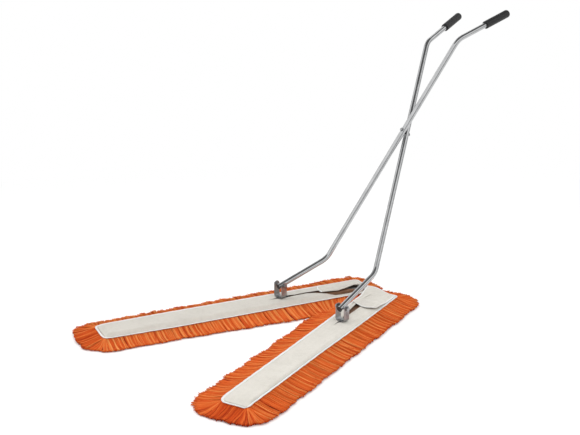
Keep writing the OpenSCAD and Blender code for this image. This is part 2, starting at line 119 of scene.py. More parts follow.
for name, lamp in lamps.items():
    data = bpy.data.lights.new(name, "AREA")
    data.size = lamp["size"]
    data.energy = lamp["power"]
    light = bpy.data.objects.new(name, data)
    light.location = lamp["at"]
    light.rotation_euler = (-Vector(lamp["at"])).to_track_quat("-Z", "Y").to_euler()
    light.visible_glossy = False
    bpy.context.scene.collection.objects.link(light)

world = bpy.data.worlds.new("studio")
bpy.context.scene.world = world
world.use_nodes = True
tree = world.node_tree
heading = node(tree, "ShaderNodeTexCoord").outputs["Generated"]
upward = node(tree, "ShaderNodeSeparateXYZ", {0: heading}).outputs[2]
height = maths(tree, "MULTIPLY_ADD", upward, 0.5, 0.5)
sky, mirrored = (
    shades(tree, height, [(place, (level, level, level, 1)) for place, level in bands])
    for bands in (sky_bands, mirrored_bands)
)
path = node(tree, "ShaderNodeLightPath").outputs
lit = node(
    tree, "ShaderNodeMix",
    {"Factor": path["Is Glossy Ray"], "A": sky, "B": mirrored}, data_type="RGBA",
)
seen = node(
    tree, "ShaderNodeMix",
    {"Factor": path["Is Camera Ray"], "A": lit.outputs["Result"], "B": white_tone}, data_type="RGBA",
)
tree.links.new(seen.outputs["Result"], tree.nodes["Background"].inputs["Color"])

floor_mesh = bpy.data.meshes.new("floor")
floor_corners = [(x * floor_reach, y * floor_reach, 0) for x, y in ((-1, -1), (1, -1), (1, 1), (-1, 1))]
floor_mesh.from_pydata(floor_corners, [], [(0, 1, 2, 3)])
floor = bpy.data.objects.new("floor", floor_mesh)
bpy.context.scene.collection.objects.link(floor)
floor_finish, tree, shader = finish_of("studio_floor", Base_Color=floor_tone, Roughness=0.7)
place = node(tree, "ShaderNodeTexCoord").outputs["Object"]
away = node(tree, "ShaderNodeVectorMath", {0: place}, operation="LENGTH").outputs["Value"]
fade = node(
    tree, "ShaderNodeMapRange", {"Value": away, "From Min": fade_from, "From Max": fade_to},
    interpolation_type="SMOOTHSTEP",
).outputs[0]
path = node(tree, "ShaderNodeLightPath").outputs
seen = maths(tree, "MAXIMUM", path["Is Camera Ray"], path["Is Glossy Ray"])
seen = maths(tree, "MAXIMUM", seen, path["Is Transmission Ray"])
whitened = maths(tree, "MULTIPLY", fade, seen)
white = node(tree, "ShaderNodeEmission", {"Strength": 1.0}).outputs[0]
mixed = node(tree, "ShaderNodeMixShader", {0: whitened, 1: shader.outputs[0], 2: white})
tree.links.new(mixed.outputs[0], tree.nodes["Material Output"].inputs["Surface"])
floor_mesh.materials.append(floor_finish)

# Heads: each head is a long batten in a canvas sleeve, and both are hinged at the apex.
# Places on a head run u from the hinge to the tail, and v from the hinge line outwards.
sides = {"left": 1, "right": -1}
hinge = (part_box("hinge_rivet")[0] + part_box("hinge_rivet")[1]) / 2
half_open = math.radians(16.8)
head_l = 1.0
head_w = 0.108
v_in = 0.0006
v_mid = v_in + head_w / 2
v_out = v_in + head_w


def on_head(side, u, v, z):
    """Points of the mop for places u, v on a head, at height z over the floor."""
    u, v, z = np.broadcast_arrays(u, v, z)
    x = sides[side] * (u * math.sin(half_open) + v * math.cos(half_open))
    y = hinge.y - u * math.cos(half_open) + v * math.sin(half_open)
    return np.stack([x, y, z], axis=-1)


# Timber battens: planed softwood, stained brown, that stiffen each sleeve and carry its steel.
# They show through the slit in the canvas. Their brown is the stain, darkened further as painted shade for
# the shadow in the slit.
# Both tones are set dark: partly the stain, partly painted shade for the slit.
board_light = (0.235, 0.120, 0.066, 1)
board_dark = (0.085, 0.040, 0.022, 1)
grain_run = (3.0, 60.0, 60.0)
board_edge = 0.0012
weld_within = 1e-5
flat_within = math.radians(0.5)
sharp_from = math.radians(40)


def both(*names):
    """Each name for the left side and for the right."""
    return [f"{side}_{name}" for side in sides for name in names]


def dress(names, made):
    """Gives nodes of the frame a finish."""
    for name in names:
        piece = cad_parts[name]
        for slot in piece.material_slots:
            slot.link = "OBJECT"
            slot.material = made
        if not piece.material_slots:
            piece.data.materials.append(made)


def round_edges(names, width):
    """Breaks the sharp edges of nodes of the frame with a small bevel."""
    for name in names:
        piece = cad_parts[name]
        weld = piece.modifiers.new("weld", "WELD")
        weld.merge_threshold = weld_within
        flats = piece.modifiers.new("flats", "DECIMATE")
        flats.decimate_type = "DISSOLVE"
        flats.angle_limit = flat_within
        bevel = piece.modifiers.new("broken_edges", "BEVEL")
        bevel.width = width
        bevel.segments = 2
        bevel.limit_method = "ANGLE"
        bevel.angle_limit = sharp_from
        bevel.harden_normals = False
        normals = piece.modifiers.new("normals", "WEIGHTED_NORMAL")
        normals.keep_sharp = True


def colour(tree, shader, value, stops):
    """Colours a finish by a value that changes over its surface."""
    tree.links.new(shades(tree, value, stops), shader.inputs["Base Color"])


def relief(tree, shader, height, strength, depth):
    """Roughens a finish by a height that changes over its surface."""
    bump = node(tree, "ShaderNodeBump", {"Height": height, "Strength": strength, "Distance": depth})
    tree.links.new(bump.outputs[0], shader.inputs["Normal"])


for side in sides:
    timber, tree, shader = finish_of(f"{side}_stained_shaded_timber", Roughness=0.6)
    place = node(tree, "ShaderNodeTexCoord").outputs["Object"]
    turn = (math.pi / 2 - half_open) * sides[side]
    turned = node(
        tree, "ShaderNodeVectorRotate", {"Vector": place, "Angle": turn}, rotation_type="Z_AXIS"
    ).outputs[0]
    stretched = node(tree, "ShaderNodeVectorMath", {0: turned, 1: grain_run}, operation="MULTIPLY").outputs[0]
    rings = node(
        tree, "ShaderNodeTexNoise", {"Vector": stretched, "Scale": 1.0, "Detail": 6.0, "Distortion": 0.8}
    ).outputs[0]
    pores = node(tree, "ShaderNodeTexNoise", {"Vector": stretched, "Scale": 9.0, "Detail": 3.0}).outputs[0]
    grain = node(tree, "ShaderNodeMix", {0: 0.35, "A": rings, "B": pores}).outputs[0]
    colour(tree, shader, grain, [(0.36, board_dark), (0.62, board_light)])
    relief(tree, shader, grain, 0.3, 0.0006)
    dress([f"{side}_board"], timber)
round_edges(both("board"), board_edge)

# Hinge and seat plates: zinc-plated steel straps and plates, screwed to the battens,
# with one rivet and a washer that join the two heads at the apex.
zinc_tone = (0.42, 0.425, 0.43, 1)
zinc_dull = (0.26, 0.265, 0.27, 1)
plate_edge = 0.0003


def effect(name, takes, gives):
    """A shader node group with named sockets, and its input and output nodes."""
    group = bpy.data.node_groups.new(name, "ShaderNodeTree")
    for socket, kind in takes.items():
        group.interface.new_socket(socket, in_out="INPUT", socket_type=kind)
    for socket, kind in gives.items():
        group.interface.new_socket(socket, in_out="OUTPUT", socket_type=kind)
    return group, group.nodes.new("NodeGroupInput").outputs, group.nodes.new("NodeGroupOutput").inputs


number = "NodeSocketFloat"
vector = "NodeSocketVector"
scuffs, takes, gives = effect(
    "scuffs",
    {"Place": vector, "Size": number, "Rough": number, "Spread": number},
    {"Roughness": number, "Patch": number, "Height": number},
)
clouds = node(
    scuffs, "ShaderNodeTexNoise", {"Vector": takes["Place"], "Scale": takes["Size"], "Detail": 5.0}
).outputs[0]
fine = maths(scuffs, "MULTIPLY", takes["Size"], 14.0)
specks = node(
    scuffs, "ShaderNodeTexNoise", {"Vector": takes["Place"], "Scale": fine, "Detail": 3.0}
).outputs[0]
blend = node(scuffs, "ShaderNodeMix", {0: 0.4, "A": clouds, "B": specks}).outputs[0]
centred = maths(scuffs, "SUBTRACT", blend, 0.5)
uneven = maths(scuffs, "MULTIPLY_ADD", centred, takes["Spread"], takes["Rough"])
scuffs.links.new(uneven, gives["Roughness"])
scuffs.links.new(clouds, gives["Patch"])
scuffs.links.new(specks, gives["Height"])


def scuffed(name, stops, strength, depth, metallic, **wear):
    """Metal or plastic with cloudy patches, uneven gloss and a faint grain."""
    made, tree, shader = finish_of(name, Metallic=metallic)
    place = node(tree, "ShaderNodeTexCoord").outputs["Object"]
    worn = node(tree, "ShaderNodeGroup", {"Place": place, **wear}, node_tree=scuffs).outputs
    colour(tree, shader, worn["Patch"], stops)
    tree.links.new(worn["Roughness"], shader.inputs["Roughness"])
    relief(tree, shader, worn["Height"], strength, depth)
    return made


zinc_stops = [(0.3, zinc_dull), (0.65, zinc_tone)]
plated = scuffed("zinc_plate", zinc_stops, 0.25, 0.0002, 1.0, Size=60.0, Rough=0.34, Spread=0.25)
fastener = scuffed("bright_fasteners", zinc_stops, 0.25, 0.0001, 1.0, Size=120.0, Rough=0.28, Spread=0.2)
plates = both("hinge_leaf", "bracket_plate")
dress(plates, plated)
round_edges(plates, plate_edge)
dress(both("leaf_screws", "plate_screws") + ["hinge_rivet", "hinge_washer"], fastener)

# Canvas: undyed cotton duck in a plain weave, cut and sewn into a sleeve for each batten.
# The threads run along and across the head, a little over a millimetre apart.
# A light and a dark tone for each head. The right head's pair is darker, as painted shade for the far head.
canvas_tones = {
    "left": ((0.70, 0.67, 0.61, 1), (0.58, 0.55, 0.49, 1)),
    "right": ((0.62, 0.59, 0.535, 1), (0.51, 0.48, 0.43, 1)),
}
threads_per_metre = 850.0
thread_depth = 0.0004
cloth_t = 0.0011

weave, takes, gives = effect(
    "plain_weave", {"Place": vector, "Threads": number}, {"Height": number, "Slub": number}
)
scaled = node(
    weave, "ShaderNodeVectorMath", {0: takes["Place"], "Scale": takes["Threads"]}, operation="SCALE"
).outputs[0]
across = node(weave, "ShaderNodeSeparateXYZ", {0: scaled}).outputs
warp, weft = (
    maths(weave, "ABSOLUTE", maths(weave, "SINE", maths(weave, "MULTIPLY", across[axis], math.pi)))
    for axis in (0, 1)
)
square = maths(weave, "ADD", maths(weave, "FLOOR", across[0]), maths(weave, "FLOOR", across[1]))
over = maths(weave, "PINGPONG", square, 1.0)
weave.links.new(node(weave, "ShaderNodeMix", {0: over, "A": warp, "B": weft}).outputs[0], gives["Height"])
slub = node(
    weave, "ShaderNodeTexNoise",
    {"Vector": takes["Place"], "Scale": 70.0, "Detail": 6.0, "Roughness": 0.65},
).outputs[0]
weave.links.new(slub, gives["Slub"])


def cloth(name, light, shade, threads, depth):
    """Woven cotton: thread relief, slubs, soft uneven soiling, and painted shade in the hollows of the weave.
    """
    made, tree, shader = finish_of(name, Roughness=0.9, Sheen_Weight=0.15, Sheen_Roughness=0.5)
    place = node(tree, "ShaderNodeUVMap", uv_map="cut").outputs[0]
    woven = node(tree, "ShaderNodeGroup", {"Place": place, "Threads": threads}, node_tree=weave).outputs
    soil = node(tree, "ShaderNodeTexNoise", {"Vector": place, "Scale": 9.0, "Detail": 4.0}).outputs[0]
    tone = node(tree, "ShaderNodeMix", {0: 0.5, "A": woven["Slub"], "B": soil}).outputs[0]
    # The weave's height darkens its hollows: painted shade between the threads.
    tone = node(tree, "ShaderNodeMix", {0: 0.18, "A": tone, "B": woven["Height"]}).outputs[0]
    colour(tree, shader, tone, [(0.32, shade), (0.62, light)])
    relief(tree, shader, woven["Height"], 0.5, depth)
    return made


duck = {
    side: cloth(f"{side}_cotton_duck", *canvas_tones[side], threads_per_metre, thread_depth)
    for side in sides
}


def piece_from(name, points, faces, made, maps=None):
    """A mesh piece with smooth faces. maps holds one (corners, 2) array for each named UV map."""
    mesh = bpy.data.meshes.new(name)
    mesh.from_pydata(np.asarray(points, float).tolist(), [], faces)
    for map_name, corners in (maps or {}).items():
        layer = mesh.uv_layers.new(name=map_name)
        layer.data.foreach_set("uv", np.asarray(corners, np.float32).ravel())
    mesh.polygons.foreach_set("use_smooth", np.ones(len(mesh.polygons), bool))
    mesh.materials.append(made)
    piece = bpy.data.objects.new(name, mesh)
    bpy.context.scene.collection.objects.link(piece)
    return piece


def grid_faces(rows, columns, first=0):
    """Quads between the points of a grid, whose points are numbered row by row from first."""
    index = first + np.arange(rows * columns).reshape(rows, columns)
    quads = np.stack([index[:-1, :-1], index[:-1, 1:], index[1:, 1:], index[1:, :-1]], axis=-1)
    return quads.reshape(-1, 4)


def thicken(piece):
    """Gives a sheet of canvas its thickness, half to each side."""
    solid = piece.modifiers.new("thickness", "SOLIDIFY")
    solid.thickness = cloth_t
    solid.offset = 0
    solid.use_even_offset = False


# Base cloth: the lower half of the sleeve, which carries the yarn. Its edges turn up to meet
# the upper half under the binding.
base_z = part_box("left_base_cloth")[0].z + cloth_t / 2
top_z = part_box("left_top_cloth")[1].z - cloth_t / 2
hinge_cut = 0.026
apex_slants = {"left": 0.014, "right": 0.0}
slant_run = 0.10
edge_drops = {
    "left": dict(inner=0.0055, outer=0.0065, tail=0.0110, apex=0.0080),
    "right": dict(inner=0.0115, outer=0.0035, tail=0.0080, apex=0.0030),
}
# Where the seams run: u, then v of the inner seam and of the outer one.
edge_lines = {
    "left": [(0, v_in, v_out), (0.25, 0.0030, 0.1070), (0.40, 0.0055, 0.1045), (0.60, 0.0080, 0.0990),
             (0.90, 0.0100, 0.0955), (1, 0.0115, 0.0935)],
    "right": [(0, v_in, v_out), (0.75, v_in, v_out), (1, 0.0090, 0.1040)],
}
edge_margin = 0.025
edge_turn = 0.016
board_w = 0.070
board_in = v_mid - board_w / 2
board_out = v_mid + board_w / 2
seam_in = 0.001
seam_under = 0.0013
base_rows = 140
base_columns = 28


def smooth(x):
    """An even step from 0 to 1, with soft ends, as x goes from 0 to 1."""
    x = np.clip(x, 0, 1)
    return x * x * (3 - 2 * x)


def along(line, x):
    """The height of a line of (place, height) points at x."""
    return np.interp(x, *np.array(line).T)


def inner_edge(side, u):
    """Where the sleeve's inner seam runs. It draws in a little towards the tail."""
    return along([(place, low) for place, low, high in edge_lines[side]], u)


def outer_edge(side, u):
    """Where the sleeve's outer seam runs."""
    return along([(place, high) for place, low, high in edge_lines[side]], u)


def apex_edge(side, v):
    """Where the sleeve ends at the apex. The left one slants back to its outer corner."""
    return apex_slants[side] * np.clip((v - hinge_cut) / (v_out - hinge_cut), 0, 1)


def slanted(side, u, v):
    """Places moved along the head, most at the apex, so that the cloth follows its slant."""
    return u + apex_edge(side, v) * (1 - smooth(u / slant_run))


def edge_distance(side, u, v):
    """How far a place on the sleeve lies inside the nearest edge."""
    ends = np.minimum(u - apex_edge(side, v), head_l - u)
    return np.minimum(ends, np.minimum(v - inner_edge(side, u), outer_edge(side, u) - v))


def sleeve_height(side, u, v):
    """Height of the upper canvas without its waves: flat on the batten, lower at the edges."""
    low, high = inner_edge(side, u), outer_edge(side, u)
    off = dict(inner=v - low, outer=high - v, tail=head_l - u, apex=u - apex_edge(side, v))
    margins = dict(inner=board_in - low, outer=high - board_out, tail=edge_margin, apex=edge_margin)
    weights = {edge: 1 - smooth(off[edge] / np.minimum(margins[edge], edge_margin)) for edge in off}
    drop = sum(weights[edge] * edge_drops[side][edge] for edge in off)
    return top_z - drop / np.maximum(1, sum(weights.values()))


base_u = np.linspace(seam_in, head_l - seam_in, base_rows)
base_shares = np.linspace(0, 1, base_columns)
for side in sides:
    u, share = np.meshgrid(base_u, base_shares, indexing="ij")
    low, high = inner_edge(side, u), outer_edge(side, u)
    v = low + seam_in + (high - low - 2 * seam_in) * share
    u = slanted(side, u, v)
    lift = np.clip(1 - edge_distance(side, u, v) / edge_turn, 0, 1) ** 2
    z = base_z + (sleeve_height(side, u, v) - base_z - seam_under) * lift
    quads = grid_faces(base_rows, base_columns)
    cut = np.stack([u, v], axis=-1).reshape(-1, 2)[quads].reshape(-1, 2)
    points = on_head(side, u, v, z).reshape(-1, 3)
    base = piece_from(f"{side}_base_canvas", points, quads.tolist(), duck[side], {"cut": cut})
    thicken(base)
    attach(base, f"{side}_head")
    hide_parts(f"{side}_base_cloth")

# Top cloth: the upper half of the sleeve, flat over the batten and drawn down to the seam at
# its edges. A slit from the apex to past the bracket lets the batten in, and its lips gape.
slit_from = 0.030
slit_to = 0.388
# How the slit gapes: u, then v of its inner lip and of its outer one.
slit_lips = {
    "left": [(slit_from, 0.048, 0.048), (0.06, 0.034, 0.058), (0.12, 0.026, 0.052), (0.18, 0.0275, 0.0505),
             (0.216, 0.0305, 0.0500), (0.26, 0.0350, 0.0490), (0.295, 0.0385, 0.0490),
             (0.32, 0.0440, 0.0570), (0.335, 0.0462, 0.0616), (0.352, 0.0462, 0.0622),
             (0.360, 0.0455, 0.0530), (0.366, 0.0450, 0.0480), (0.382, 0.0450, 0.0468),
             (slit_to, 0.0459, 0.0459)],
    "right": [(slit_from, 0.040, 0.040), (0.045, 0.017, 0.056), (0.06, 0.009, 0.058), (0.09, 0.0065, 0.058),
              (0.12, 0.0065, 0.058), (0.146, 0.008, 0.057), (0.165, 0.013, 0.0565), (0.18, 0.020, 0.0560),
              (0.195, 0.030, 0.0555), (0.215, 0.044, 0.0555), (0.24, 0.0510, 0.0555),
              (0.29, 0.0525, 0.0560), (0.33, 0.0472, 0.0620), (0.352, 0.0472, 0.0620),
              (0.366, 0.0530, 0.0565), (slit_to, 0.0545, 0.0545)],
}
lip_lifts = {"left": (0.0032, 0.0012), "right": (0.0004, 0.0030)}
lip_run = 0.05
lip_curl_w = 0.012
lips_shut = 1e-9
hem_w = 0.007
hem_rise = 0.0006
hem_step = 0.001
wave_length = 0.11
wave_height = 0.0018
wave_stretch = (0.6, 1.6)
wave_count = 6
wave_fade = 0.03
canvas_seed = 11
top_rows = 200
half_columns = 16


def hinge_edge(side, u):
    """Where a cover starts across the head: at the inner seam, or at the cut round the hinge."""
    return np.maximum(inner_edge(side, u), np.sqrt(np.maximum(hinge_cut**2 - u**2, 0)))


def ripple(u, v, seed, length, height):
    """Soft waves in cloth, from a few crossed sine waves."""
    chance = np.random.default_rng(seed)
    total = np.zeros(np.broadcast(u, v).shape)
    for _ in range(wave_count):
        angle, shift = chance.uniform(0, math.pi), chance.uniform(0, 2 * math.pi)
        pitch = 2 * math.pi / (length * chance.uniform(*wave_stretch))
        total = total + np.sin(pitch * (u * math.cos(angle) + v * math.sin(angle)) + shift)
    return height * total / wave_count


def canvas_height(side, u, v):
    """Height of the upper canvas's middle layer over a head."""
    waves = np.abs(ripple(u, v, canvas_seed + sides[side], wave_length, wave_height))
    return sleeve_height(side, u, v) + waves * smooth(edge_distance(side, u, v) / wave_fade)


even_u = np.linspace(seam_in, head_l - seam_in, top_rows)
top_u = np.unique(np.concatenate([even_u, [slit_from, slit_to]]))
rows = len(top_u)
u_grid = np.repeat(top_u[:, None], half_columns, axis=1)
parted = (smooth((top_u - slit_from) / lip_run) * smooth((slit_to - top_u) / lip_run))[:, None]
share = np.linspace(0, 1, half_columns)
for side in sides:
    places, inner_lip, outer_lip = np.array(slit_lips[side]).T
    lip_in, lip_out = np.interp(top_u, places, inner_lip), np.interp(top_u, places, outer_lip)
    gape = lip_out - lip_in
    start = hinge_edge(side, top_u)
    v_inner = start[:, None] + (lip_in - start)[:, None] * share
    v_outer = lip_out[:, None] + (outer_edge(side, top_u) - lip_out)[:, None] * share
    halves = []
    for v_grid, lip, lift in zip((v_inner, v_outer), (lip_in, lip_out), lip_lifts[side]):
        u_slant = slanted(side, u_grid, v_grid)
        off = np.abs(v_grid - lip[:, None])
        hem = hem_rise * (1 - smooth((off - hem_w) / hem_step)) * (gape[:, None] > 0)
        curl = lift * np.exp(-((off / lip_curl_w) ** 2)) * parted
        z = canvas_height(side, u_slant, v_grid) + hem + curl
        halves.append(on_head(side, u_slant, v_grid, z).reshape(-1, 3))
    half_size = rows * half_columns
    quads = np.concatenate([grid_faces(rows, half_columns, first) for first in (0, half_size)])
    # Where the slit is closed, the outer half takes the inner half's last points as its first.
    index = np.arange(2 * half_size)
    closed = np.flatnonzero(gape <= lips_shut)
    index[half_size + closed * half_columns] = closed * half_columns + half_columns - 1
    used, quads = np.unique(index[quads], return_inverse=True)
    quads = quads.reshape(-1, 4)
    flat = np.concatenate([np.stack([u_grid, v], axis=-1).reshape(-1, 2) for v in (v_inner, v_outer)])
    cut = flat[used][quads].reshape(-1, 2)
    points = np.concatenate(halves)[used]
    top = piece_from(f"{side}_top_canvas", points, quads.tolist(), duck[side], {"cut": cut})
    thicken(top)
    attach(top, f"{side}_head")
    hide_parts(f"{side}_top_cloth")

# Binding: a folded white cotton tape sewn over the raw edges of the sleeve, all the way round,
# with one row of stitches near its inner edge.
tape_light = (0.80, 0.80, 0.79, 1)
tape_shade = (0.71, 0.71, 0.69, 1)
tape_threads = 1100.0
tape_depth = 0.0003
thread_light = (0.79, 0.77, 0.71, 1)
thread_shade = (0.66, 0.63, 0.56, 1)
tape_w = 0.0070
# The folded tape's section: how far inside the edge, and how far over the cloth.
tape_profile = [
    (tape_w, 0.0009), (0.0035, 0.0011), (0.0006, 0.0007), (-0.0006, -0.0002), (0.0002, -0.0012),
    (0.0050, -0.0016), (0.0050, -0.0011), (0.0010, -0.0007), (0.0010, 0.0002), (tape_w, 0.0003),
]
tape_step = 0.006
# The tape wavers as it is sewn: swing, waves and shift.
tape_wander = [(0.0004, 260, 0), (0.0003, 611, 1)]
tape_run = 2.3
tape_girth = 0.02
corner_r = 0.010
corner_steps = 6
hinge_steps = 12
stitch_pitch = 0.0042
stitch_l = 0.0030
stitch_r = 0.00035
stitch_in = 0.002
stitch_up = 0.0011
stitch_sides = 6
# A stitch's rings: place along it, thickness and rise, as shares of its length and radius.
stitch_shape = [(-0.5, 0.25, -0.6), (-0.32, 0.8, 0.1), (0, 1.0, 0.45), (0.32, 0.8, 0.1), (0.5, 0.25, -0.6)]

tape = cloth("binding_tape", tape_light, tape_shade, tape_threads, tape_depth)
thread_finish, tree, shader = finish_of("sewing_thread", Roughness=0.7)
place = node(tree, "ShaderNodeTexCoord").outputs["Object"]
twist = node(tree, "ShaderNodeTexWave", {"Vector": place, "Scale": 900.0}).outputs[1]
# The grooves of the twist are painted darker: painted shade.
colour(tree, shader, twist, [(0.1, thread_shade), (0.6, thread_light)])
relief(tree, shader, twist, 0.4, 0.0002)


def arc(centre, radius, start, end, steps):
    """Places on an arc, between two angles in degrees."""
    turn = np.radians(np.linspace(start, end, steps))
    return np.stack([centre[0] + radius * np.cos(turn), centre[1] + radius * np.sin(turn)], axis=-1)


def resampled(line, pitch):
    """Points along a line of places at an even pitch."""
    run = np.concatenate([[0], np.cumsum(np.linalg.norm(np.diff(line, axis=0), axis=1))])
    steps = np.linspace(0, run[-1], max(2, int(run[-1] / pitch) + 1))
    return np.stack([np.interp(steps, run, line[:, i]) for i in range(line.shape[1])], axis=-1)


def sleeve_edge(side):
    """The edge of the sleeve from the hinge cut round the apex end, the outer side, the tail and back."""
    r = corner_r
    tail_in, tail_out = inner_edge(side, head_l - r), outer_edge(side, head_l - r)
    turns = [(u, v_low, v_high) for u, v_low, v_high in edge_lines[side] if r < u < head_l - r]
    return np.concatenate([
        arc((0, 0), hinge_cut, 0, 90, hinge_steps),
        arc((apex_slants[side] + r, v_out - r), r, 180, 90, corner_steps),
        [(u, v_high) for u, v_low, v_high in turns],
        arc((head_l - r, tail_out - r), r, 90, 0, corner_steps),
        arc((head_l - r, tail_in + r), r, 0, -90, corner_steps),
        [(u, v_low) for u, v_low, v_high in reversed(turns)],
        [(hinge_cut, v_in)],
    ])


def seam_height(side, u, v):
    """Height of the sleeve at a place, or at its edge where the place lies past it."""
    return sleeve_height(side, np.clip(u, 0, head_l), np.clip(v, v_in, v_out))


def ring_faces(rings, around):
    """Quads round a tube of rings, and a cap at each end."""
    index = np.arange(rings * around).reshape(rings, around)
    after = np.roll(index, -1, axis=1)
    quads = np.stack([index[:-1], after[:-1], after[1:], index[1:]], axis=-1).reshape(-1, 4).tolist()
    return quads + [index[0][::-1].tolist(), index[-1].tolist()]


def unit(steps):
    """Directions of length 1."""
    return steps / np.linalg.norm(steps, axis=-1)[..., None]


def stitches(name, middles):
    """A row of short thread stitches along a seam, each a small bead that dips in at its ends."""
    ahead = unit(np.gradient(middles, axis=0))
    beside = unit(np.cross(ahead, [0, 0, 1]))
    above = np.cross(beside, ahead)
    lengths, radii, sink = np.array(stitch_shape).T * [[stitch_l], [stitch_r], [stitch_r]]
    turn = np.linspace(0, 2 * math.pi, stitch_sides, endpoint=False)
    spine = middles[:, None] + ahead[:, None] * lengths[:, None] + above[:, None] * sink[:, None]
    rings = spine[:, :, None] + radii[:, None, None] * (
        np.cos(turn)[:, None] * beside[:, None, None] + np.sin(turn)[:, None] * above[:, None, None]
    )
    one = ring_faces(len(lengths), stitch_sides)
    points_each = len(lengths) * stitch_sides
    faces = [[i + nth * points_each for i in face] for nth in range(len(middles)) for face in one]
    return piece_from(name, rings.reshape(-1, 3), faces, thread_finish)


for side in sides:
    line = resampled(sleeve_edge(side), tape_step)
    ahead = unit(np.gradient(line, axis=0))
    inward = np.stack([-ahead[:, 1], ahead[:, 0]], axis=-1)
    run = np.linspace(0, 1, len(line))
    wander = sum(swing * np.sin(run * waves + shift) for swing, waves, shift in tape_wander)
    rows = []
    for off, rise in tape_profile:
        u, v = (line + inward * (off + wander)[:, None]).T
        rows.append(on_head(side, u, v, seam_height(side, u, v) + rise))
    rings = np.stack(rows, axis=1)
    if side == "right":
        rings = rings[:, ::-1]
    faces = ring_faces(len(line), len(tape_profile))
    girth = np.linspace(0, tape_girth, len(tape_profile))
    flat = np.stack(np.meshgrid(run * tape_run, girth, indexing="ij"), axis=-1).reshape(-1, 2)
    cut = np.concatenate([flat[face] for face in faces])
    binding = piece_from(f"{side}_edge_binding", rings.reshape(-1, 3), faces, tape, {"cut": cut})
    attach(binding, f"{side}_head")
    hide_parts(f"{side}_binding")
    u, v = resampled(line + inward * (tape_w - stitch_in), stitch_pitch).T
    seam = on_head(side, u, v, seam_height(side, u, v) + stitch_up)
    row = stitches(f"{side}_edge_stitches", seam)
    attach(row, f"{side}_head")
    top = bpy.data.objects[f"{side}_top_canvas"]

# Tongues: a second layer of canvas sewn to each apex end, which closes the slit. The free end is
# round and hemmed. The left one lies over the hinge, and the right one is tucked under along its
# inner side.
tongue_rows = np.concatenate([np.linspace(0, 0.94, 44), [0.957, 0.974, 0.980, 0.99, 1.0]])
tongue_hem = 0.008
tongue_tape_w = 0.0045
tongue_wave_length = 0.09
tongue_wave_height = 0.0014
tongue_seed = 40
stitch_proud_share = 0.3
tongue_stitch_up = cloth_t / 2 + stitch_r * stitch_proud_share
left_tongue_l = 0.203
left_sewn_in = 0.001
left_round = 0.053
left_round_v = 0.078
left_round_inner = 1.6
left_round_outer = 2.4
left_overhang = 0.012
left_draw_in = 0.0135
left_draw_run = 0.15
left_side_in = 0.0004
left_gap = 0.0020
left_lift_across = [(-1, 0.0045), (-0.5, 0.0035), (0, 0.0025), (0.6, 0.0055), (1, 0.0075)]
left_lift_from = 0.42
left_lift_bend = 1.4
left_tape_from = 0.92
left_columns = np.concatenate([[-1, -0.96, -0.92], np.linspace(-0.88, 0.88, 41), [0.92, 0.96, 1]])
hinge_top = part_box("hinge_rivet")[1].z
hinge_clear = 0.0018
hinge_cover_r = 0.012
hinge_cover_fade = 0.075
right_tongue_l = 0.188
right_sewn_in = 0.002
right_round = 0.030
right_round_v = 0.060
right_round_outer = 2.2
right_side_in = 0.0012
right_low_gap = 0.0014
right_gap = 0.0012
right_gap_run = 0.02
right_fold_along = [(0, 0.0255), (0.02, 0.031), (0.045, 0.045), (0.07, 0.038), (0.094, 0.031),
                    (0.12, 0.028), (0.155, 0.032), (0.19, 0.042)]
right_lift_along = [(0, 0.001), (0.015, 0.003), (0.035, 0.006), (0.06, 0.0045), (0.095, 0.0020),
                    (0.13, 0.0010), (0.19, 0.0010)]
right_lift_w = 0.030
fold_r = 0.0012
upper_columns = np.linspace(0, 1, 34)
turned_columns = np.linspace(0.2, 1, 4)
tucked_columns = np.linspace(0.06, 1, 16)


def tongue_waves(side, u, v):
    """Soft waves in a tongue, which only lift it."""
    return np.abs(ripple(u, v, tongue_seed + sides[side], tongue_wave_length, tongue_wave_height))


def sew_tongue(side, u, v, z, cut, taped, hem_points):
    """The tongue's cloth on a grid of places, taped at its free edges, with stitches along its hem."""
    points = on_head(side, u, v, z).reshape(-1, 3)
    quads = grid_faces(*u.shape)
    flat = cut.reshape(-1, 2)[quads].reshape(-1, 2)
    tongue = piece_from(f"{side}_tongue", points, quads.tolist(), duck[side], {"cut": flat})
    tongue.data.materials.append(tape)
    tongue.data.polygons.foreach_set("material_index", taped.ravel().astype(np.int32))
    thicken(tongue)
    row = stitches(f"{side}_tongue_stitches", resampled(hem_points, stitch_pitch))
    for piece, slot in ((tongue, "canvas"), (row, "binding_tape")):
        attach(piece, f"{side}_head")
    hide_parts(f"{side}_apex_pocket")


# Left: s runs from the seam to the free end, and t from the inner side to the outer one.
s, t = np.meshgrid(tongue_rows, left_columns, indexing="ij")
share = (t + 1) / 2
across = share * v_out
to_inner = np.clip(left_round_v - across, 0, 1) / left_round_v
to_outer = np.clip(across - left_round_v, 0, 1) / (v_out - left_round_v)
inner_turn = (1 - to_inner**left_round_inner) ** (1 / left_round_inner)
outer_turn = (1 - to_outer**left_round_outer) ** (1 / left_round_outer)
mouth = left_tongue_l - left_round + left_round * np.minimum(inner_turn, outer_turn)
start = apex_edge("left", across) - left_sewn_in
u = start + s * (mouth - start)
v_low = left_draw_in * np.clip(u / left_draw_run, 0, 1) - left_overhang
v = v_low + (v_out - left_side_in - v_low) * share
lift = smooth((s - left_lift_from) / (1 - left_lift_from)) ** left_lift_bend * along(left_lift_across, t)
hem = hem_rise * (1 - smooth(((1 - s) * mouth - tongue_hem) / hem_step))
z = canvas_height("left", np.clip(u, 0, head_l), np.clip(v, v_in, v_out)) + left_gap + lift + hem
z = z + tongue_waves("left", u, v)
over_hinge = 1 - smooth((np.hypot(u, v) - hinge_cover_r) / hinge_cover_fade)
z = z + np.maximum(0, hinge_top + hinge_clear - z) * over_hinge
hem_row = np.argmin(np.abs((1 - tongue_rows) * left_tongue_l - tongue_hem + stitch_in))
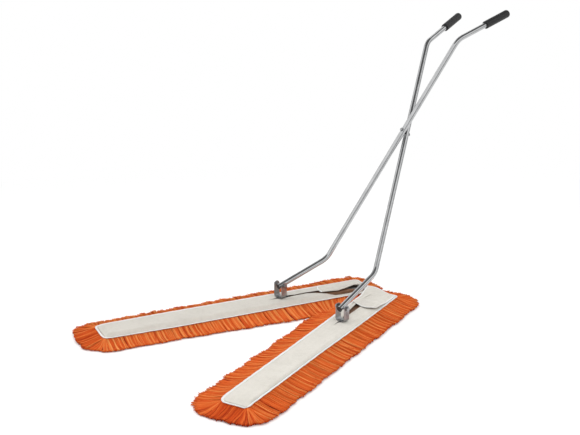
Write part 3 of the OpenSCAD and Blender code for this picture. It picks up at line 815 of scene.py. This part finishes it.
hem_points = on_head("left", u, v, z + tongue_stitch_up)[hem_row]
taped = (u > mouth - tongue_tape_w)[1:, 1:] | (u < start + tongue_tape_w)[:-1, 1:]
taped |= np.abs(t[:-1, :-1] + t[:-1, 1:]) > 2 * left_tape_from
sew_tongue("left", u, v, z, np.stack([u, v], axis=-1), taped, hem_points)

# Right: c runs from the outer side to the fold, round the fold, and back under as the tuck.
across = np.concatenate([upper_columns, 1 + turned_columns, 2 + tucked_columns])
s, c = np.meshgrid(tongue_rows, across, indexing="ij")
upper, turned, tucked = np.clip(c, 0, 1), np.clip(c - 1, 0, 1), np.clip(c - 2, 0, 1)
v_far = v_out - right_side_in
fold = along(right_fold_along, s * right_tongue_l)
v = v_far + (fold - v_far) * upper - fold_r * np.sin(math.pi * turned) + (fold - v_in) * tucked
to_outer = np.clip((v - right_round_v) / (v_far - right_round_v), 0, 1)
mouth = right_tongue_l - right_round * to_outer**right_round_outer
u = right_sewn_in + s * (mouth - right_sewn_in)
lift = along(right_lift_along, u) * np.exp(-((np.clip(v - fold, 0, 1) / right_lift_w) ** 2))
gap = right_gap * smooth((v_far - v) / right_gap_run) + right_low_gap
z = canvas_height("right", u, np.clip(v, v_in, v_out)) + gap + lift
z = z - fold_r * (1 - np.cos(math.pi * turned)) + tongue_waves("right", u, v)
cut = np.stack([u, v_far - (v_far - fold) * upper - (fold - v_in) * tucked], axis=-1)
hem_points = on_head("right", u, v, z + tongue_stitch_up)[hem_row, 1:len(upper_columns)]
taped = (s * mouth > mouth - tongue_tape_w)[1:, 1:]
sew_tongue("right", u, v, z, cut, taped, hem_points)

# Yarn: orange plied cotton yarn, laid thickly round the sleeve as a cut fringe and sewn in rows
# under the base cloth as a pile. Each end is one strand, and ends gather in loose locks.
yarn_shades = [
    (0.0, (0.32, 0.028, 0.006, 1)), (0.35, (0.59, 0.078, 0.013, 1)), (0.65, (0.69, 0.130, 0.024, 1)),
    (1.0, (0.77, 0.29, 0.080, 1)),
]
yarn_r = 0.0014
strand_rings = 8
strand_sides = 5
map_margin = 0.04
cap_spot = 0.01

yarn, tree, shader = finish_of("orange_yarn", Roughness=0.9, Specular_IOR_Level=0.15)
tone = node(tree, "ShaderNodeAttribute", attribute_name="tone").outputs["Fac"]
run = node(tree, "ShaderNodeUVMap", uv_map="twist").outputs[0]
parts = node(tree, "ShaderNodeSeparateXYZ", {0: run}).outputs
turns = maths(tree, "MULTIPLY_ADD", parts[0], 22.0, maths(tree, "MULTIPLY", parts[1], 3.0))
plies = maths(tree, "ABSOLUTE", maths(tree, "SINE", maths(tree, "MULTIPLY", turns, math.pi)))
place = node(tree, "ShaderNodeTexCoord").outputs["Object"]
fuzz = node(tree, "ShaderNodeTexNoise", {"Vector": place, "Scale": 420.0, "Detail": 3.0}).outputs[0]
# The grooves between the plies are painted darker, as painted shade. The fuzz varies the tone at random.
shade = maths(tree, "MULTIPLY_ADD", maths(tree, "SUBTRACT", plies, 0.6), 0.16, tone)
shade = maths(tree, "MULTIPLY_ADD", maths(tree, "SUBTRACT", fuzz, 0.5), 0.35, shade)
colour(tree, shader, shade, yarn_shades)
relief(tree, shader, plies, 0.6, 0.0005)


def strands(name, spines, radii, tones):
    """Yarn ends along spines of shape (ends, rings, 3), each a tube with two cut faces."""
    count, rings, _ = spines.shape
    ahead = unit(np.gradient(spines, axis=1))
    beside = unit(np.cross(ahead, [0, 0, 1]))
    above = np.cross(beside, ahead)
    turn = np.linspace(0, 2 * math.pi, strand_sides, endpoint=False)
    points = spines[:, :, None] + radii[..., None, None] * (
        np.cos(turn)[:, None] * beside[:, :, None] + np.sin(turn)[:, None] * above[:, :, None]
    )
    index = np.arange(count * rings * strand_sides).reshape(count, rings, strand_sides)
    after = np.roll(index, -1, axis=2)
    quads = np.stack([index[:, :-1], after[:, :-1], after[:, 1:], index[:, 1:]], axis=-1).reshape(-1, 4)
    caps = np.concatenate([index[:, 0, ::-1], index[:, -1]])
    # The twist map runs along each strand and round it. The bake map gives each strand a cell of its own.
    run = np.linspace(0, 1, rings)
    low, high = np.meshgrid(run[:-1], np.arange(strand_sides) / strand_sides, indexing="ij")
    step, part = run[1], 1 / strand_sides
    one = np.stack([
        np.stack([low, high], -1), np.stack([low, high + part], -1),
        np.stack([low + step, high + part], -1), np.stack([low + step, high], -1),
    ], axis=2).reshape(-1, 2)
    twist_map = np.concatenate([np.tile(one, (count, 1)), np.zeros((caps.size, 2))])
    cells = int(math.ceil(math.sqrt(count)))
    cell = np.stack([np.arange(count) % cells, np.arange(count) // cells], axis=-1)
    packed = (cell[:, None] + map_margin + (1 - 2 * map_margin) * one[None]) / cells
    cap_cell = np.repeat(np.concatenate([cell, cell]), strand_sides, axis=0)
    cap_round = np.tile(0.5 + cap_spot * np.stack([np.cos(turn), np.sin(turn)], -1), (2 * count, 1))
    bake_map = np.concatenate([packed.reshape(-1, 2), (cap_cell + cap_round) / cells])
    maps = {"OFBake": bake_map, "twist": twist_map}
    made = piece_from(name, points.reshape(-1, 3), quads.tolist() + caps.tolist(), yarn, maps)
    shade = made.data.attributes.new("tone", "FLOAT", "POINT")
    shade.data.foreach_set("value", np.repeat(tones, rings * strand_sides).astype(np.float32))
    return made


# Pile: rows of the same yarn sewn across the underside of the base cloth, four deep. The weight of
# the mop presses them flat on the floor, and their ends stop just inside the binding.
pile_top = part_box("left_yarn_pile")[1].z
pile_rows = 130
pile_layers = 4
pile_r = 0.0029
pile_seed = 500
pile_end_in = 0.004
pile_side_in = 0.003
pile_keep_in = 0.002
pile_middle_gap = 0.001
pile_uneven = 0.004
pile_stray = 0.0025
pile_wave = 0.0012
pile_wave_turn = 6.0
pile_press = 0.15
pile_tone = 0.42
pile_tone_spread = 0.14
phase_most = 6.0

for side in sides:
    chance = np.random.default_rng(pile_seed + sides[side])
    row_u = np.repeat(np.linspace(pile_end_in, head_l - pile_end_in, pile_rows), 2 * pile_layers)
    way = np.tile([1, -1], pile_rows * pile_layers)[:, None]
    level = np.tile(np.repeat(np.arange(pile_layers), 2), pile_rows)[:, None] / (pile_layers - 1)
    count = len(row_u)
    t = np.linspace(0, 1, strand_rings)
    low, high = inner_edge(side, row_u)[:, None], outer_edge(side, row_u)[:, None]
    reach = (high - low) / 2 - pile_side_in - chance.uniform(0, pile_uneven, count)[:, None]
    v = (low + high) / 2 + way * (pile_middle_gap + t * reach)
    sway = chance.normal(0, pile_stray, count)[:, None] * t
    sway = sway + pile_wave * np.sin(pile_wave_turn * t + chance.uniform(0, phase_most, count)[:, None])
    u = np.clip(row_u[:, None] + sway, pile_keep_in, head_l - pile_keep_in)
    z = pile_r + (pile_top - 2 * pile_r) * level * (1 - pile_press * t)
    radii = np.full((count, strand_rings), pile_r)
    tones = np.clip(chance.normal(pile_tone, pile_tone_spread, count), 0, 1)
    pile = strands(f"{side}_pile_yarn", on_head(side, u, v, z), radii, tones)
    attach(pile, f"{side}_head")
    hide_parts(f"{side}_yarn_pile")

# Fringe: locks of cut yarn that root under the binding, fall to the floor and lie out on it.
# The locks fan round the corners, and inside the V they turn to the tail where the heads meet.
fringe_seed = 70
# How the ends lie in a lock. Layer 0 is the lowest end, and layer 1 the uppermost.
lock_pitch = 0.0055
ends_per_lock = 8
layer_bend = 0.65
lock_widths = [(0, 1.5), (0.6, 1.3), (1, 0.2)]
lock_gather = 0.12
full_low = 1.55
full_less = 0.6
full_uneven = 0.06
strand_taper = [(0, 0.8), (0.15, 1.0), (0.85, 1.0), (1, 0.9)]
# Where the rows and fans of locks start and stop, and how they lean.
root_in = 0.004
root_low = 0.010
root_under = 0.0008
fan_in = 0.003
row_stop = 0.004
tail_stop = 0.001
hinge_stop = 0.020
corner_fan = 22
inner_fan = 26
lap_fan = 5
apex_lean = 15.0
corner_lean = 8.0
corner_lap = 16.0
corner_grown = 45.0
# How far the locks reach: along the inside of the V as u, then length.
apex_length = 0.068
outer_length_apex = 0.086
outer_length_tail = 0.066
tail_lengths = {"left": 0.071, "right": 0.078}
corner_lengths = {"left": 0.070, "right": 0.090}
corner_dips = {"left": 0.0, "right": 0.010}
inner_reaches = {
    "left": [(0, 0.045), (0.20, 0.085), (0.31, 0.095), (0.45, 0.087), (1, 0.086)],
    "right": [(0, 0.045), (0.20, 0.085), (0.31, 0.094), (0.45, 0.086), (0.75, 0.070), (1, 0.064)],
}
meet_lap = 0.016
# How the yarn falls from the binding, lies on the floor and stands up in places.
shoulder = 1.35
fall_low = 1.5
fall_more = 1.1
hinge_drop = 0.8
drop_from = 0.10
drop_run = 0.15
floor_gap = 0.0006
tip_rises = {"outer": 0.0055, "inner": 0.0030}
tip_bend = 1.2
tip_loose = 0.0010
puffs = {"left": 0.001, "right": 0.008}
puff_uneven = 0.16
puff_limits = (0.5, 1.5)
tail_puff = 0.25
# How loose and uneven the yarn is, in degrees, shares of its length, and metres.
lock_stray = 0.6
end_stray = 0.8
lock_uneven = 0.014
end_uneven = 0.025
slow_swing = 0.028
slow_step = 0.23
quick_swing = 0.018
quick_step = 0.71
low_short = 0.05
low_short_to = 0.7
lock_bend = 0.0009
end_bend = 0.0005
end_wave = 0.0009
end_wave_turns = 1.4
lock_phase = 0.35
lock_phase_step = 0.7
end_phase = 0.25
# How light the yarn is, on its scale of shades from 0 to 1, with painted shade low in the locks and at the
# tail.
fringe_tones = {"left": 0.54, "right": 0.64}
lock_tone = 0.20
lock_tone_span = 5
end_tone = 0.06
# Lower ends are painted darker and the uppermost lighter: painted shade down in the lock.
low_painted_shade = 0.62
low_painted_shade_to = 0.8
# The locks round the tail are painted darker: painted shade on the tail's shadow side.
tail_painted_shade = -0.24
tail_painted_shade_fan = 70.0


def outer_locks(side):
    """Roots, headings in degrees and lengths of the locks round the apex end, outer side and tail."""
    rows = []
    for v in np.arange(v_in + fan_in, v_out - row_stop, lock_pitch):
        share = (v - v_in) / head_w
        edge = apex_edge(side, v)
        rows.append((edge, v, 180 - (apex_lean + (corner_lean - apex_lean) * share), apex_length + edge))
    fan_u = apex_slants[side] + fan_in
    length = apex_length + apex_slants[side]
    for turn in np.linspace(180 - corner_lean, 90, corner_fan):
        grown = smooth((180 - corner_lean - turn) / (90 - corner_lean)) ** 2
        rows.append((fan_u, v_out - fan_in, turn, length + (outer_length_apex - length) * grown))
    for u in np.arange(fan_u + lock_pitch, head_l - row_stop, lock_pitch):
        edge = outer_edge(side, u)
        length = outer_length_apex + (outer_length_tail - outer_length_apex) * u / head_l + v_out - edge
        rows.append((u, edge, 90, length))
    tail_in, tail_out = inner_edge(side, head_l), outer_edge(side, head_l)
    tail_length = tail_lengths[side]
    side_length = outer_length_tail + v_out - tail_out
    for turn in np.linspace(90, 0, corner_fan):
        most = side_length + (corner_lengths[side] - side_length) * smooth((90 - turn) / corner_grown)
        length = min(most, tail_length / math.cos(math.radians(turn)))
        rows.append((head_l - fan_in, tail_out - fan_in, turn, length))
    for v in np.arange(tail_out - fan_in - lock_pitch, tail_in + tail_stop, -lock_pitch):
        rows.append((head_l, v, 0, tail_length))
    for turn in np.linspace(0, -corner_lap, lap_fan)[1:]:
        rows.append((head_l - fan_in, tail_in + fan_in, turn, tail_length))
    return np.array(rows)


def inner_locks(side):
    """Roots, headings and lengths of the locks along the inside of the V and round its tail corner."""
    rows = []
    tail_in = inner_edge(side, head_l)
    tail_length = tail_lengths[side]
    tail_reach = inner_reaches[side][-1][1] + tail_in - v_in
    for turn in np.linspace(corner_lap, -90, inner_fan)[1:]:
        share = max(0, -turn) / 90
        length = tail_length + (tail_reach - tail_length) * share
        dip = corner_dips[side] * math.sin(math.pi * share) ** 2
        rows.append((head_l - fan_in, tail_in + fan_in, turn, length - dip))
    for u in np.arange(head_l - fan_in - lock_pitch, hinge_stop, -lock_pitch):
        room = u * math.sin(half_open) + meet_lap
        edge = inner_edge(side, u)
        length = along(inner_reaches[side], u) + edge - v_in
        turn = half_open + math.asin(min(1.0, room / length))
        rows.append((u, edge, -min(90.0, math.degrees(turn)), length))
    return np.array(rows)


def fringe(name, side, locks, chance, puff, drop, tip_rise):
    """Yarn ends for every lock, with loose directions, uneven lengths and a tone of its own.

    puff lifts the middle of the locks, drop lets those near the hinge fall sooner, and tip_rise
    is how much higher the uppermost tips lie than the lowest."""
    root_u, root_v, heading, length = np.repeat(locks, ends_per_lock, axis=0).T
    count = len(root_u)
    total = len(locks)
    nth = np.arange(total)
    lock = np.repeat(nth, ends_per_lock)
    layer = np.tile(np.linspace(0, 1, ends_per_lock) ** layer_bend, total)
    t = np.linspace(0, 1, strand_rings)

    lock_turn = chance.normal(0, lock_stray, total)
    lock_long = chance.normal(0, lock_uneven, total)
    lock_puff = puff * np.clip(1 + puff_uneven * chance.normal(0, 1, total), *puff_limits)[lock]
    lock_puff = lock_puff * np.clip(heading / 90, tail_puff, 1)
    lock_bow = chance.normal(0, lock_bend, total)
    slow = slow_swing * np.sin(nth * slow_step + chance.uniform(0, phase_most))
    slow = slow + quick_swing * np.sin(nth * quick_step)
    turn = np.radians(heading + lock_turn[lock] + chance.normal(0, end_stray, count))
    length = length * (1 + lock_long[lock] + slow[lock] + chance.normal(0, end_uneven, count))
    length = (length * (1 + low_short * (layer - low_short_to)))[:, None]

    half = ends_per_lock // 2
    order = chance.permuted(np.tile(np.arange(half), (2 * total, 1)), axis=1).ravel()
    spread = ((order + chance.uniform(0, 1, count)) / half - 0.5) * (lock_pitch * along(lock_widths, layer))
    bow = (lock_bow[lock] + chance.normal(0, end_bend, count))[:, None] * np.sin(math.pi * t)
    phase = lock_phase * np.sin(lock * lock_phase_step) + chance.uniform(0, end_phase, count)
    wave = end_wave * np.sin(2 * math.pi * (end_wave_turns * t + phase[:, None])) * t
    side_step = spread[:, None] * (1 - lock_gather * t) + bow + wave
    reach = length * t - root_in
    ahead_u, ahead_v = np.cos(turn), np.sin(turn)
    u = root_u[:, None] + ahead_u[:, None] * reach - ahead_v[:, None] * side_step
    v = root_v[:, None] + ahead_v[:, None] * reach + ahead_u[:, None] * side_step

    radius = yarn_r * (full_low - full_less * layer + chance.normal(0, full_uneven, count))
    rim = seam_height(side, root_u + fan_in * ahead_u, root_v + fan_in * ahead_v)
    back = seam_height(side, root_u - root_in * ahead_u, root_v - root_in * ahead_v)
    root = root_low + (np.minimum(rim, back) - root_under - root_low) * layer
    tip = radius + floor_gap + (tip_rise + lock_puff) * layer**tip_bend
    tip = tip + np.abs(chance.normal(0, tip_loose, count))
    past_edge = np.clip(reach / (length - root_in), 0, 1)
    near_hinge = 1 - smooth((root_u - drop_from) / drop_run)
    steep = (fall_low + fall_more * layer) * (1 + drop * near_hinge)
    fall = (1 - past_edge**shoulder) ** steep[:, None]
    z = tip[:, None] + (root - tip)[:, None] * fall
    z = z + (lock_puff * layer)[:, None] * np.sin(math.pi * past_edge) ** 2

    lock_tones = chance.normal(0, lock_tone, total)
    lock_tones = lock_tones - np.convolve(lock_tones, np.ones(lock_tone_span) / lock_tone_span, "same")
    tones = fringe_tones[side] + lock_tones[lock] + chance.normal(0, end_tone, count)
    # Painted shade: the lower ends of a lock are darker.
    tones = tones + low_painted_shade * (layer - low_painted_shade_to)
    # Painted shade on the locks that face the tail, fading out towards the sides.
    tones = tones + tail_painted_shade * (1 - smooth(np.abs(heading) / tail_painted_shade_fan))
    radii = radius[:, None] * along(strand_taper, t)
    return strands(name, on_head(side, u, v, z), radii, np.clip(tones, 0, 1))


for side in sides:
    chance = np.random.default_rng(fringe_seed + sides[side])
    rows = {"outer": (outer_locks(side), puffs[side], 0.0), "inner": (inner_locks(side), 0.0, hinge_drop)}
    for kind, (locks, puff, drop) in rows.items():
        piece = fringe(f"{side}_{kind}_yarn_fringe", side, locks, chance, puff, drop, tip_rises[kind])
        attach(piece, f"{side}_head")
        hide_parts(f"{side}_{kind}_fringe")

# Brackets: a plated strap bent to a U on a headed stud, whose cheeks hold the foot of a tube.
# The stud stands in the batten, with a spacer that carries the strap clear of the canvas.
bracket_edge = 0.0005
dress(both("bracket"), plated)
round_edges(both("bracket"), bracket_edge)
dress(both("swivel_stud"), fastener)

# Tubes: drawn steel tube, polished bright and bent at both ends. The two cross at a pivot bolt with
# a plastic spacer between them, and a plastic plug closes each foot.
tube_bright = (0.54, 0.545, 0.55, 1)
tube_dull = (0.44, 0.445, 0.45, 1)
black_tone = (0.010, 0.010, 0.011, 1)
black_worn = (0.0112, 0.0112, 0.01232, 1)
bolt_edge = 0.0004
tube_stops = [(0.3, tube_dull), (0.65, tube_bright)]
bright_tube = scuffed("bright_tube", tube_stops, 0.25, 0.0, 1.0, Size=25.0, Rough=0.15, Spread=0.05)
dress(both("tube"), bright_tube)
dress(both("tilt_bolt", "tilt_nut", "tilt_washers"), fastener)
dress(["pivot_bolt", "pivot_nut", "pivot_washers"], fastener)
round_edges(both("tilt_bolt", "tilt_nut") + ["pivot_bolt", "pivot_nut"], bolt_edge)
black_stops = [(0.3, black_tone), (0.75, black_worn)]
black_plastic = scuffed("black_plastic", black_stops, 0.15, 0.0001, 0.0, Size=90.0, Rough=0.5, Spread=0.25)
dress(both("end_plug", "swivel_spacer") + ["pivot_spacer"], black_plastic)

# Grips: moulded sleeves of black vinyl, closed and round at the end. They are pushed over the upper
# ends of the tubes and hold by their stretch.
vinyl_tone = (0.010, 0.010, 0.0105, 1)
vinyl_worn = (0.0112, 0.0112, 0.01176, 1)
vinyl_stops = [(0.3, vinyl_tone), (0.75, vinyl_worn)]
grip_vinyl = scuffed("grip_vinyl", vinyl_stops, 0.15, 0.0001, 0.0, Size=40.0, Rough=0.55, Spread=0.25)
dress(both("grip"), grip_vinyl)
